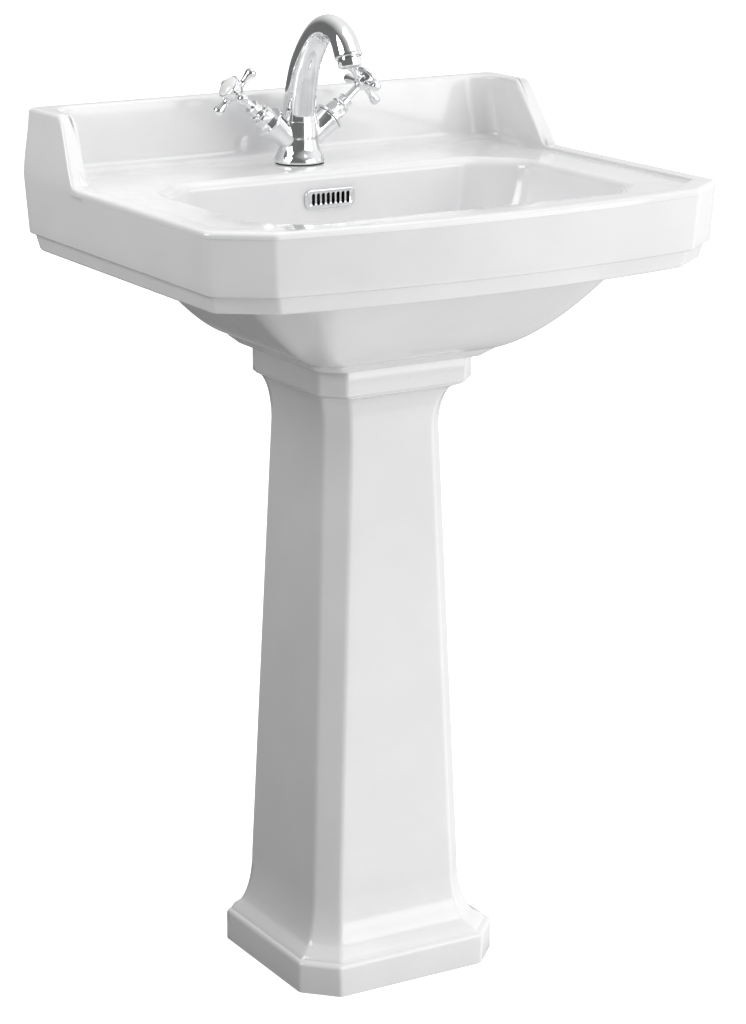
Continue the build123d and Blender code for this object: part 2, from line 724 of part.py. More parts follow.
plug_low_z = flange_top_z + plug_travel + plug_gap
with BuildPart() as waste_plug:
    with BuildSketch(Plane.XZ.offset(-out(waste_out))):
        with BuildLine():
            low = Line((0, plug_low_z), (plug_seat_r, plug_low_z))
            lip = Line(low @ 1, (plug_r, plug_low_z + 2))
            dome = Spline(lip @ 1, (15, plug_low_z + 5.6), (6, plug_low_z + plug_crown),
                          tangents=((-1, 0.45), (-1, 0)))
            Polyline(dome @ 1, (0, plug_low_z + plug_crown), low @ 0)
        make_face()
    revolve(axis=Axis((0, out(waste_out), 0), (0, 0, 1)))
save(waste_plug, "waste_plug")

with BuildPart() as plug_stem:
    add(ring(upright(0, waste_out, stem_low_z), stem_r, plug_low_z - stem_low_z))
save(plug_stem, "plug_stem")

with BuildPart() as under_washer:
    add(ring(upright(0, waste_out, foot_z - under_washer_t), under_washer_r, under_washer_t,
             waste_thread_r))
save(under_washer, "waste_under_washer")

with BuildPart() as backnut:
    add(hexagon_nut(upright(0, waste_out, foot_z - under_washer_t - backnut_t), backnut_r,
                    backnut_t, waste_thread_r))
save(backnut, "waste_backnut")


# ---------------------------------------------------------------- bottle trap
trap_neck_r, trap_neck_bore_r = 18.0, 15.5
trap_wall = 3.0
barrel_low_z, barrel_high_z = 568.0, 625.0
barrel_flange_t = 4.0
cup_low_z, cup_high_z = 505.0, 578.0
cup_floor, cup_edge_r = 4.0, 3.0
cup_seal_t = 2.5
dip_z = 530.0             # lower end of the dip tube
dip_wall = 2.0
boss_r, boss_end_out = 18.5, 163.0
inlet_nut_r, inlet_nut_low_z, inlet_nut_t = 26.0, 628.0, 26.0
outlet_nut_r, outlet_nut_grip, outlet_seal_t = 24.0, 11.0, 9.0
nut_lip = 4.0             # inward lip that each nut holds its seal with
pipe_bore_r = 14.2
pipe_entry = 12.0         # depth of the pipe in the trap's boss
pipe_bead = 1.5

with BuildPart() as trap_body:
    add(ring(upright(0, waste_out, barrel_low_z), trap_r, barrel_high_z - barrel_low_z))
    add(ring(upright(0, waste_out, cup_high_z + cup_seal_t), cup_r, barrel_flange_t))
    add(ring(upright(0, waste_out, barrel_high_z), trap_neck_r,
             waste_end_z - barrel_high_z))
    to_wall = Plane(origin=(0, out(waste_out), trap_outlet_z), z_dir=(0, 1, 0))
    add(ring(to_wall, boss_r, waste_out - boss_end_out))
    add(ring(upright(0, waste_out, barrel_low_z), trap_r - trap_wall,
             barrel_high_z - barrel_low_z - trap_wall), mode=Mode.SUBTRACT)
    add(ring(upright(0, waste_out, barrel_low_z), trap_neck_bore_r,
             waste_end_z - barrel_low_z), mode=Mode.SUBTRACT)
    add(ring(to_wall.offset(trap_neck_r), pipe_r, waste_out - boss_end_out - trap_neck_r),
        mode=Mode.SUBTRACT)
    # Dip tube, down into the cup
    add(ring(upright(0, waste_out, dip_z), trap_neck_bore_r + dip_wall, waste_end_z - dip_z,
             trap_neck_bore_r))
save(trap_body, "trap_body")

with BuildPart() as trap_cup:
    add(ring(upright(0, waste_out, cup_low_z), cup_r, cup_high_z - cup_low_z))
    add(ring(upright(0, waste_out, cup_low_z + cup_floor), trap_r,
             cup_high_z - cup_low_z - cup_floor), mode=Mode.SUBTRACT)
    fillet(trap_cup.edges().filter_by(GeomType.CIRCLE).group_by(Axis.Z)[0], cup_edge_r)
save(trap_cup, "trap_cup")

with BuildPart() as cup_seal:
    add(ring(upright(0, waste_out, cup_high_z), cup_r, cup_seal_t, trap_r))
save(cup_seal, "trap_cup_seal")

with BuildPart() as inlet_nut:
    add(ring(upright(0, waste_out, inlet_nut_low_z), inlet_nut_r, inlet_nut_t, waste_thread_r))
    add(ring(upright(0, waste_out, inlet_nut_low_z), inlet_nut_r, nut_lip, trap_neck_r))
save(inlet_nut, "trap_inlet_nut")

with BuildPart() as inlet_seal:
    add(ring(upright(0, waste_out, inlet_nut_low_z + nut_lip), waste_thread_r,
             waste_end_z - inlet_nut_low_z - nut_lip, trap_neck_r))
save(inlet_seal, "trap_inlet_seal")

boss_end = Plane(origin=(0, out(boss_end_out), trap_outlet_z), z_dir=(0, 1, 0))
with BuildPart() as outlet_nut:
    add(ring(boss_end.offset(-outlet_nut_grip), outlet_nut_r,
             outlet_nut_grip + outlet_seal_t + nut_lip, boss_r))
    add(ring(boss_end.offset(outlet_seal_t), outlet_nut_r, nut_lip, pipe_r))
save(outlet_nut, "trap_outlet_nut")

with BuildPart() as outlet_seal:
    add(ring(boss_end, boss_r, outlet_seal_t, pipe_r))
save(outlet_seal, "trap_outlet_seal")

with BuildPart() as outlet_pipe:
    add(ring(boss_end.offset(-pipe_entry), pipe_r, boss_end_out - pipe_end_out + pipe_entry,
             pipe_bore_r))
    bead = boss_end.offset(boss_end_out - pipe_end_out - pipe_plain - bead_t)
    add(ring(bead, pipe_r + pipe_bead, bead_t, pipe_bore_r))
save(outlet_pipe, "waste_outlet_pipe")
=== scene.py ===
import json
from math import cos, hypot, pi, radians, sin, sqrt, tan

import bmesh
import bpy
from mathutils import Matrix, Vector


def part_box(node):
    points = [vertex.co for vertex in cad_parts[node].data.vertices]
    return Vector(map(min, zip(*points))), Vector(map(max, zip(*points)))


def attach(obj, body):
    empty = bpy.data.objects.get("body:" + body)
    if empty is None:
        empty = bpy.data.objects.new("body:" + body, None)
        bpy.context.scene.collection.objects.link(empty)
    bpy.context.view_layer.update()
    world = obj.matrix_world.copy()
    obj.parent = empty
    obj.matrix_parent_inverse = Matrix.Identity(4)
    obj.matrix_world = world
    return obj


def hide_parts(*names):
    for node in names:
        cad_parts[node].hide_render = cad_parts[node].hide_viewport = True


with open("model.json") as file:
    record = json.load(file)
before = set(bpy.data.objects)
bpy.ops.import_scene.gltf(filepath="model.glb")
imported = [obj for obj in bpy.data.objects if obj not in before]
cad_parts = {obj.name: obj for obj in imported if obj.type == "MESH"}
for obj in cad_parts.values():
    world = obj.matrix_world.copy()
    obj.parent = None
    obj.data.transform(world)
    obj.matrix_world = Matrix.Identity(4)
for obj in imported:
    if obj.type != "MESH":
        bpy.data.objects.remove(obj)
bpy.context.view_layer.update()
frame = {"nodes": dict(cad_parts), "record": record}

MM = 0.001


def mm(metres):
    return metres / MM


# ---------------------------------------------------------------- sizes read from the frame
basin_low, basin_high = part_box("basin")
pedestal_low, pedestal_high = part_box("pedestal")
gasket_low, gasket_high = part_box("tap_gasket")
grille_low, grille_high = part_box("overflow_grille")
seal_low, seal_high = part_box("waste_seal")

WALL_Y = basin_high.y
HALF = mm(basin_high.x)
SPLASH_Z = mm(basin_high.z)
FOOT_Z = mm(basin_low.z)
FRONT = mm(WALL_Y - basin_low.y)
TAP_OUT = mm(WALL_Y - (gasket_low.y + gasket_high.y) / 2)
WASTE_OUT = mm(WALL_Y - (seal_low.y + seal_high.y) / 2)
SEAT_Z = mm(seal_low.z)
DECK_Z = mm(gasket_low.z)
TAP_FOOT_Z = mm(gasket_high.z)
GRILLE_Z = mm((grille_low.z + grille_high.z) / 2)
GRILLE_OUT = mm(WALL_Y - grille_high.y)
GRILLE_HALF = mm(grille_high.x)
GRILLE_HIGH = mm(grille_high.z - grille_low.z)
GRILLE_T = mm(grille_high.y - grille_low.y)
PEDESTAL_HALF = mm(pedestal_high.x)
PEDESTAL_FRONT = mm(WALL_Y - pedestal_low.y)

# ---------------------------------------------------------------- basin sizes
BOW = 21.0                   # how far the front edge bows out in the middle
SIDE_DEPTH = FRONT - BOW
CORNER = (53.5, 40.5)        # front corner cut, along x and away from the front
RIM_Z = DECK_Z + 4
BAND_Z = 796.5               # lower edge of the band
APRON_Z = 815.0              # step between the band and the apron
APRON_LEVELS = (826, 842, 858, 866, 872)
APRON_DRAFT = 3.5            # the apron leans in from the rim down to its step
APRON_STEP = 4.8
BAND_TAPER = 2.8
BORDER = 19.0                # width of the raised border and of the upstand
LEAN = 8.4                   # the upstand's ends lean in by this much
RETURN_TOP, RETURN_FOOT = 82.0, 127.0    # where the upstand's ends slope down to the rim
OUTER_CORNER_R, INNER_CORNER_R = 6.0, 32.0       # back corners, outside and inside the border
FRONT_OUTER_R, FRONT_INNER_R = 15.0, 10.0        # front corners, likewise
EDGE_R = 4.2
SHELL = 12.0                 # thickness of the ware

# Bowl outlines: half width, back, front and corner cut
BOWL_RIM = (222.0, 134.0, 415.0, 47.0)
BOWL_FLOOR = (150.0, 160.0, 352.0, 30.0)
BOWL_FLOOR_Z = 745.0
WALL_CURVE = 0.84            # below 1; nearer 1, the bowl's wall stands up longer

# Underside outlines: half width, back and front
UNDERSIDE_LOW = (108.0, 100.0, 314.0)
UNDERSIDE_TOP = (226.0, 100.0, 424.0)
UNDERSIDE_TOP_R = 50
UNDERSIDE_BACK_CUT = 30
SPREAD_POWER = 0.7           # below 1, the underside spreads out early
BOWL_FOOT_Z = FOOT_Z + 8.5
FOOT_CUT = (20, 8)

# Holes: the waste's seat and bore, the tap hole, the two wall fixings, the overflow's mouth
SEAT_R, SEAT_EDGE_R = 33.5, 36.0
BORE_R, BORE_CHAMFER_R = 22.5, 23.5
BORE_JOIN_Z = 716            # a ring partway down the bore
TAP_HOLE_R = 17.5
FIXING_X, FIXING_Z, FIXING_R, FIXING_DEPTH = 140, 832, 7, 30
MOUTH_HALF, MOUTH_HIGH = 26, 7
MOUTH_BACK, MOUTH_FRONT = 112, 150


def lerp(a, b, t):
    return a + (b - a) * t


def clamp(t):
    return max(0.0, min(1.0, t))


def ease(t):
    t = clamp(t)
    return t * t * (3 - 2 * t)


def point(x, out, z):
    """A point in the row frame, in metres, from millimetres and a distance from the wall."""
    return Vector((x * MM, WALL_Y - out * MM, z * MM))


# ---------------------------------------------------------------- outlines
SIDE_STEPS = [0.0, 0.02, 0.04] + [0.06 + 0.0075 * i for i in range(32)]
SIDE_STEPS += [lerp(0.30, 1.0, (i + 1) / 22) for i in range(22)]
BACK_COUNT, ARC_COUNT, CUT_COUNT, FRONT_COUNT = 16, 7, 4, 24


def rounded(before, vertex, after, radius):
    """Points round one corner of an outline, from its first tangent point to its last."""
    back, ahead = (before - vertex), (after - vertex)
    turn = pi - back.angle(ahead)
    reach = min(radius * tan(turn / 2), 0.499 * back.length, 0.499 * ahead.length)
    start, end = vertex + back.normalized() * reach, vertex + ahead.normalized() * reach
    bend = start.lerp(end, 0.5) - vertex
    inner_r = reach / tan(turn / 2)
    centre = vertex + bend.normalized() * hypot(reach, inner_r)
    low, high = start - centre, end - centre
    points = []
    for step in range(ARC_COUNT):
        t = step / (ARC_COUNT - 1)
        along = (low * sin((1 - t) * turn) + high * sin(t * turn)) / sin(turn)
        points.append(centre + along)
    return points


def spread(start, end, steps):
    """Points between two others, at these shares of the way."""
    return [start.lerp(end, t) for t in steps]


def inner_steps(count):
    """Even shares of the way, both ends left out."""
    return [(i + 1) / (count + 1) for i in range(count)]


def half_outline(half, back, front, back_cut, front_cut, back_r, front_r, bow):
    """Right half of an outline, from the middle of the back to the middle of the front."""
    middle_back, middle_front = Vector((0, back)), Vector((0, front + bow))
    a, b = Vector((half - back_cut[0], back)), Vector((half, back + back_cut[1]))
    c, d = Vector((half, front - front_cut[1])), Vector((half - front_cut[0], front))
    across = half - front_cut[0]
    towards_middle = d + Vector((-across, 2 * bow))
    corner_a, corner_b = rounded(middle_back, a, b, back_r), rounded(a, b, c, back_r)
    corner_c, corner_d = rounded(b, c, d, front_r), rounded(c, d, towards_middle, front_r)
    points = spread(middle_back, corner_a[0], [i / BACK_COUNT for i in range(BACK_COUNT)])
    points += corner_a + spread(corner_a[-1], corner_b[0], inner_steps(CUT_COUNT)) + corner_b
    points += spread(corner_b[-1], corner_c[0], SIDE_STEPS[1:-1])
    points += corner_c + spread(corner_c[-1], corner_d[0], inner_steps(CUT_COUNT)) + corner_d
    start = corner_d[-1]
    drop = front + bow * (1 - (start.x / across) ** 2) - start.y if bow else 0
    for t in [(i + 1) / FRONT_COUNT for i in range(FRONT_COUNT)]:
        x = lerp(start.x, 0, t)
        y = front + bow * (1 - (x / across) ** 2) - drop * (1 - t) if bow else start.y
        points.append(Vector((x, y)))
    points[-1] = middle_front
    return points


def whole(points):
    """Both halves of an outline: down the right side, then up the left."""
    return points + [Vector((-p.x, p.y)) for p in reversed(points[1:-1])]


def as_ring(points, z):
    """A closed outline at a height."""
    return [point(p.x, p.y, z) for p in points]


def round_ring(out, radius, z, count):
    """A level circle round a point on the middle line, starting at its back."""
    turn = [2 * pi * i / count for i in range(count)]
    return [point(radius * sin(a), out - radius * cos(a), z) for a in turn]


def skin(name, rings, closed=False, looped=True):
    """Mesh through rings of equal count; closed joins the last ring to the first."""
    count = len(rings[0])
    verts = [p for ring in rings for p in ring]
    faces = []
    total = len(rings)
    for r in range(total if closed else total - 1):
        for i in range(count if looped else count - 1):
            j = (i + 1) % count
            s = (r + 1) % total
            faces.append((r * count + i, r * count + j, s * count + j, s * count + i))
    mesh = bpy.data.meshes.new(name)
    mesh.from_pydata(verts, [], faces)
    obj = bpy.data.objects.new(name, mesh)
    bpy.context.scene.collection.objects.link(obj)
    return obj


def finish_mesh(obj, sharp=35.0):
    """Outward normals, smooth shading, and sharp edges where faces meet steeply."""
    bm = bmesh.new()
    bm.from_mesh(obj.data)
    bmesh.ops.remove_doubles(bm, verts=bm.verts, dist=1e-6)
    bmesh.ops.recalc_face_normals(bm, faces=bm.faces)
    bm.to_mesh(obj.data)
    bm.free()
    obj.data.shade_smooth()
    obj.data.set_sharp_from_angle(angle=radians(sharp))
    return obj


def apply_modifier(obj, modifier):
    """Turn a modifier into mesh."""
    with bpy.context.temp_override(object=obj, active_object=obj, selected_objects=[obj]):
        bpy.ops.object.modifier_apply(modifier=modifier.name)


def cut_with(obj, cutter):
    """Take the cutter out of the object, then delete the cutter."""
    change = obj.modifiers.new("cut", "BOOLEAN")
    change.operation = "DIFFERENCE"
    change.solver = "EXACT"
    change.object = cutter
    apply_modifier(obj, change)
    bpy.data.objects.remove(cutter)


# ---------------------------------------------------------------- basin
def top_height(out):
    """Height of the basin's upper edge at this distance from the wall, softly bent."""
    soft_top, soft_foot = 7.0, 4.0
    slope = (SPLASH_Z - RIM_Z) / (RETURN_FOOT - RETURN_TOP)

    def bent(distance, at, soft):
        """Zero before the bend and a straight slope after it, rounded in between."""
        gap = distance - at
        if gap <= -soft:
            return 0.0
        if gap >= soft:
            return gap
        return (gap + soft) ** 2 / (4 * soft)

    down = bent(out, RETURN_TOP, soft_top) - bent(out, RETURN_FOOT, soft_foot)
    return SPLASH_Z - slope * down


def lean_at(z):
    """How far the ends of the basin lean in at this height: not at all below the rim."""
    soft = 6
    return LEAN * ease((z - RIM_Z + soft) / (SPLASH_Z - RIM_Z + 2 * soft))


def rim_outline(inset, back=None):
    """Plan of the basin's edge, drawn in by inset; its back corners round off inwards."""
    back = inset if back is None else back
    inward = clamp(inset / BORDER)
    radius = lerp(OUTER_CORNER_R, INNER_CORNER_R, inward) - max(0.0, inset - BORDER)
    cut = radius * (2 - sqrt(2)) + 0.05
    front_r = lerp(FRONT_OUTER_R, FRONT_INNER_R, inward)
    return half_outline(HALF - inset, back, SIDE_DEPTH - inset, (cut, cut), CORNER,
                        radius, front_r, BOW)


def rim_ring(inset, level, back=None):
    """A ring of the basin's edge; level gives its height from the local top height."""
    ring = []
    for p in whole(rim_outline(inset, back)):
        z = level(top_height(p.y))
        squeeze = 1 - lean_at(z) / HALF
        ring.append(point(p.x * squeeze, p.y, z))
    return ring


def rise(top):
    """0 at the raised rim and 1 at the top of the upstand."""
    return clamp((top - RIM_Z) / (SPLASH_Z - RIM_Z))


def inner_edge_r(top):
    """Rounding of the inner top edge: small at the rim, larger on the upstand."""
    return lerp(2.2, 5.0, rise(top))


def foot_fillet_r(top):
    """Hollow at the deck: small at the rim, larger below the upstand."""
    return lerp(2.0, 11.0, rise(top))


def quarter(count):
    """Sine and cosine at even steps of a quarter turn, both ends included."""
    turns = [pi / 2 * i / (count - 1) for i in range(count)]
    return [(sin(a), cos(a)) for a in turns]


def edge_rings():
    """Apron, raised border, upstand and deck, from the apron's step inwards."""
    def draft(z):
        return APRON_DRAFT * (RIM_Z - z) / (RIM_Z - APRON_Z)

    foot_r, top_land, deck_start = 2.0, 4.5, 13.5
    rings = [rim_ring(APRON_DRAFT + foot_r * (1 - s),
                      lambda top, c=c: APRON_Z + foot_r * (1 - c), back=0)
             for s, c in quarter(5)]
    for z in APRON_LEVELS:
        rings.append(rim_ring(draft(z), lambda top, z=z: z, back=0))
    for t in inner_steps(9):
        rings.append(rim_ring(0, lambda top, t=t: lerp(APRON_LEVELS[-1], top - EDGE_R, t),
                              back=0))
    for s, c in quarter(7):
        rings.append(rim_ring(EDGE_R * (1 - c), lambda top, s=s: top - EDGE_R * (1 - s)))
    for t in (0.35, 0.7):
        rings.append(rim_ring(lerp(EDGE_R, BORDER - top_land, t), lambda top: top))
    for s, c in quarter(7):
        rings.append(rim_ring_inner(s, c))
    for t in inner_steps(8):
        rings.append(rim_ring(BORDER, lambda top, t=t: lerp(
            top - inner_edge_r(top), DECK_Z + foot_fillet_r(top), t)))
    for s, c in quarter(8):
        rings.append(rim_ring_foot(s, c))
    rings.append(rim_ring(BORDER + deck_start, lambda top: DECK_Z))
    return rings


def border_ring(shift, level):
    """A ring at the border's inner face, drawn in further by shift of the local top height."""
    near, far = rim_ring(BORDER, level), rim_ring(BORDER + 1.0, level)
    tops = [top_height(p.y) for p in whole(rim_outline(BORDER))]
    return [a.lerp(b, shift(top)) for a, b, top in zip(near, far, tops)]


def rim_ring_inner(s, c):
    """Rounding from the top onto the inner face."""
    return border_ring(lambda top: -inner_edge_r(top) * (1 - s),
                       lambda top: top - inner_edge_r(top) * (1 - c))


def rim_ring_foot(s, c):
    """Hollow rounding from the inner face onto the deck."""
    return border_ring(lambda top: foot_fillet_r(top) * (1 - c),
                       lambda top: DECK_Z + foot_fillet_r(top) * (1 - s))


def eight_sided(shape, grow, radius):
    """Outline with four equal corner cuts, from its half width, back, front and cut."""
    half, back, front, cut = shape
    return half_outline(half + grow, back - grow, front + grow, (cut, cut), (cut, cut),
                        radius, radius, 0)


def blend(low, high, amount):
    """Sizes partway between two sets of sizes."""
    return [lerp(a, b, amount) for a, b in zip(low, high)]


def bowl_rings(count):
    """Inside of the bowl, from its rounded edge down to the waste hole."""
    edge, rim_corner_r, floor_corner_r, wall_steps = 10.0, 30, 34, 22
    rings = []
    for s, c in quarter(8):
        grow, z = edge * (1 - s), DECK_Z - edge * (1 - c)
        rings.append(as_ring(whole(eight_sided(BOWL_RIM, grow, rim_corner_r + grow)), z))
    first_wall = len(rings) + 1
    start = edge / (DECK_Z - BOWL_FLOOR_Z)
    for i in range(1, wall_steps + 1):
        t = lerp(start, 1, sin(pi / 2 * i / wall_steps))
        inward = (1 - sqrt(1 - WALL_CURVE * t * t)) / (1 - sqrt(1 - WALL_CURVE))
        outline = eight_sided(blend(BOWL_RIM, BOWL_FLOOR, inward), 0,
                              lerp(rim_corner_r, floor_corner_r, t))
        rings.append(as_ring(whole(outline), lerp(DECK_Z, BOWL_FLOOR_Z, t)))
    floor = rings[-1]
    seat = round_ring(WASTE_OUT, SEAT_EDGE_R, SEAT_Z + 0.6, count)
    for t in inner_steps(9):
        rings.append([a.lerp(b, t) for a, b in zip(floor, seat)])
    rings.append(seat)
    for _ in range(10):
        smooth_rings(rings, first_wall, len(rings) - 1)
    for radius, z in ((SEAT_R, SEAT_Z), (BORE_CHAMFER_R, SEAT_Z), (BORE_R, SEAT_Z - 1),
                      (BORE_R, BORE_JOIN_Z)):
        rings.append(round_ring(WASTE_OUT, radius, z, count))
    return rings


def smooth_rings(rings, first, last):
    """Draw each ring of a stretch halfway towards the mean of its neighbours."""
    fresh = []
    for r in range(first, last):
        before, here, after = rings[r - 1], rings[r], rings[r + 1]
        fresh.append([b * 0.5 + (a + c) * 0.25 for a, b, c in zip(before, here, after)])
    rings[first:last] = fresh


def underside_rings(count):
    """Foot, convex underside and the hollow below the deck, up to the band's lower edge."""
    def eight(half, back, front, cuts, radius):
        (cut_x, cut_back), cut_front = cuts, cuts[0] * 1.05
        return whole(half_outline(half, back, front, (cut_x, cut_back),
                                  (cut_x, cut_front), 0.8 * cut_back, radius, 0))

    rings = [round_ring(WASTE_OUT, BORE_R, FOOT_Z + 1, count),
             round_ring(WASTE_OUT, BORE_CHAMFER_R, FOOT_Z, count)]
    ledge_z, ledge_top_z, radius = 694.5, 701, 12
    sections = [((102.5, 111.5, 305.5), radius, FOOT_Z),
                ((104.5, 109.5, 307.5), radius, FOOT_Z + 0.6)]
    for t in (0.3, 0.6, 0.85):
        size = blend((105, 109, 308), (111.6, 100.4, 316.6), t)
        sections.append((size, radius, lerp(ledge_z, ledge_top_z, t)))
    sections.append(((112, 100, 317), radius + 1, BOWL_FOOT_Z - 0.8))
    rings += [as_ring(eight(*size, FOOT_CUT, corner_r), z) for size, corner_r, z in sections]
    low_r, low_cut, low_back_cut = 16, 16, 8
    first, steps = 3, 26
    for i in range(first, steps + 1):
        t = (i / steps) ** 2
        size = blend(UNDERSIDE_LOW, UNDERSIDE_TOP, t ** SPREAD_POWER)
        cut = (lerp(low_cut, CORNER[0], t), lerp(low_back_cut, UNDERSIDE_BACK_CUT, t))
        rings.append(as_ring(eight(*size, cut, lerp(low_r, UNDERSIDE_TOP_R, t)),
                             lerp(BOWL_FOOT_Z + 0.4, BAND_Z, t)))
    top_cut = (CORNER[0], UNDERSIDE_BACK_CUT)
    half, back, front = UNDERSIDE_TOP
    ceiling = DECK_Z - SHELL
    for grow, drop in ((0, 5), (1.5, 1.5), (5, 0)):
        outline = eight(half + grow, back - grow, front + grow, top_cut, UNDERSIDE_TOP_R)
        rings.append(as_ring(outline, ceiling - drop))
    step_in = APRON_DRAFT + APRON_STEP
    inner = SHELL + APRON_DRAFT + APRON_STEP
    for inset, z in ((inner + 4, ceiling), (inner + 1, ceiling - 1), (inner, ceiling - 4),
                     (inner, BAND_Z + 4), (inner - 1, BAND_Z + 1), (inner - 3, BAND_Z)):
        rings.append(rim_ring(inset, lambda top, z=z: z, back=inset - step_in))
    return rings


def band_rings():
    """The stepped lower band, from its rounded lower edge up to the apron."""
    high = APRON_DRAFT + APRON_STEP
    low = high + BAND_TAPER
    edge, step_r = 3.5, 1.6
    rings = []
    for s, c in quarter(6):
        rings.append(rim_ring(low + edge * (1 - s), lambda top, c=c: BAND_Z + edge * (1 - c),
                              back=edge * (1 - s)))
    for t in (0.35, 0.7):
        z = lerp(BAND_Z + edge, APRON_Z - 2, t)
        inset = lerp(low, high, t)
        rings.append(rim_ring(inset, lambda top, z=z: z, back=0))
    for s, c in quarter(5):
        rings.append(rim_ring(high - step_r * (1 - c),
                              lambda top, s=s: APRON_Z - step_r * (1 - s), back=0))
    return rings


def build_basin():
    """The whole casting as one skin, then its tap hole, wall fixings and overflow mouth."""
    count = len(whole(rim_outline(0)))
    rings = underside_rings(count) + band_rings() + edge_rings() + bowl_rings(count)
    basin = finish_mesh(skin("basin_ware", rings, closed=True), 50)
    holes = [turned("cutter", Matrix.Translation(point(0, TAP_OUT, DECK_Z - 20)),
                    [(TAP_HOLE_R, 0), (TAP_HOLE_R, 30)])]
    for x in (-FIXING_X, FIXING_X):
        along = (Matrix.Translation(point(x, FIXING_DEPTH, FIXING_Z))
                 @ Matrix.Rotation(-pi / 2, 4, "X"))
        holes.append(turned("cutter", along, [(FIXING_R, 0), (FIXING_R, 45)]))
    holes.append(block("cutter", point(-MOUTH_HALF, MOUTH_FRONT, GRILLE_Z - MOUTH_HIGH),
                       point(MOUTH_HALF, MOUTH_BACK, GRILLE_Z + MOUTH_HIGH)))
    for cutter in holes:
        cut_with(basin, cutter)
    return finish_mesh(basin, 40)


def block(name, a, b):
    """A box between two corners."""
    low = Vector([min(p, q) for p, q in zip(a, b)])
    high = Vector([max(p, q) for p, q in zip(a, b)])
    rings = []
    for z in (low.z, high.z):
        rings.append([Vector((low.x, low.y, z)), Vector((high.x, low.y, z)),
                      Vector((high.x, high.y, z)), Vector((low.x, high.y, z))])
    return finish_mesh(capped(skin(name, rings)))


def capped(obj):
    """Close the open ends of a skin."""
    bm = bmesh.new()
    bm.from_mesh(obj.data)
    loose = [e for e in bm.edges if e.is_boundary]
    bmesh.ops.holes_fill(bm, edges=loose, sides=0)
    bm.to_mesh(obj.data)
    bm.free()
    return obj


def circle(place, radius, height, count):
    """Points round the z axis of a placement, from millimetres."""
    turns = [2 * pi * i / count for i in range(count)]
    return [place @ (Vector((radius * cos(a), radius * sin(a), height)) * MM) for a in turns]


def turned(name, place, profile, count=64, sharp=35.0):
    """A piece turned about its own z: profile is (radius, height) pairs in millimetres."""
    rings = [circle(place, radius, height, count) for radius, height in profile]
    return finish_mesh(capped(skin(name, rings)), sharp)


def turned_ring(name, place, profile, count, sharp):
    """A ring turned about its own z: its profile is a closed loop of pairs."""
    rings = [circle(place, radius, height, count) for radius, height in profile]
    return finish_mesh(skin(name, rings, closed=True), sharp)


def axes(x_dir, y_dir, z_dir):
    """Rotation that turns x, y and z into these directions."""
    return Matrix((x_dir, y_dir, z_dir)).transposed().to_4x4()


# ---------------------------------------------------------------- pedestal
# Section sizes: half width, back and front
WARE = 13.0                  # thickness of its wall
CAPITAL = (94.5, 129.5, 297.5)
SHAFT_TOP = (72.0, 129.5, 268.0)
SHAFT_FOOT = (93.0, 114.0, 279.5)
PLINTH = (PEDESTAL_HALF, 109.5, PEDESTAL_FRONT)
PLINTH_CUT, SHAFT_CUT = 33.5, 22.0
CAPITAL_Z, SHAFT_TOP_Z, SHAFT_FOOT_Z, PLINTH_Z = 664.0, 610.0, 103.0, 34.0
BACK_EDGE_R = 2.5
BACK_EDGE_STEPS = (0.2, 0.5, 0.8)        # where the points of a rounded back edge stand
SIDE_COUNT, FACE_COUNT = 14, 10          # points along a side and along half of the front
LUG_X, LUG_HALF, LUG_BACK, LUG_FRONT, LUG_TOP = 95, 17, 113, 147, 12
LUG_HOLE_OUT, LUG_HOLE_R = 130, 4


def open_outline(half, back, front, cut, radius):
    """Pedestal section from the back of its right side, round the front, to the left."""
    a, b = Vector((half, back)), Vector((half, front - cut))
    c, d = Vector((half - cut, front)), Vector((0, front))
    first, second = rounded(a, b, c, radius), rounded(b, c, d, radius)
    right = spread(a, first[0], [i / SIDE_COUNT for i in range(SIDE_COUNT)]) + first
    right += spread(first[-1], second[0], inner_steps(CUT_COUNT)) + second
    right += spread(second[-1], d, [(i + 1) / FACE_COUNT for i in range(FACE_COUNT)])
    return right + [Vector((-p.x, p.y)) for p in reversed(right[:-1])]


def wall_section(size, cut, radius, z):
    """Outer and inner outlines of the ware, as one loop, with its back edges rounded."""
    half, back, front = size
    flat_back = back + BACK_EDGE_R
    outer = open_outline(half, flat_back, front, cut, radius)
    inner = open_outline(half - WARE, flat_back, front - WARE, cut - 3, max(2, radius - 4))
    edge = []
    for t in BACK_EDGE_STEPS:
        across = lerp(half, half - WARE, 0.5 - 0.5 * cos(pi * t))
        edge.append(Vector((across, flat_back - BACK_EDGE_R * sin(pi * t))))
    mirrored = [Vector((-p.x, p.y)) for p in edge]
    loop = outer + mirrored + list(reversed(inner)) + list(reversed(edge))
    return [point(p.x, p.y, z) for p in loop]


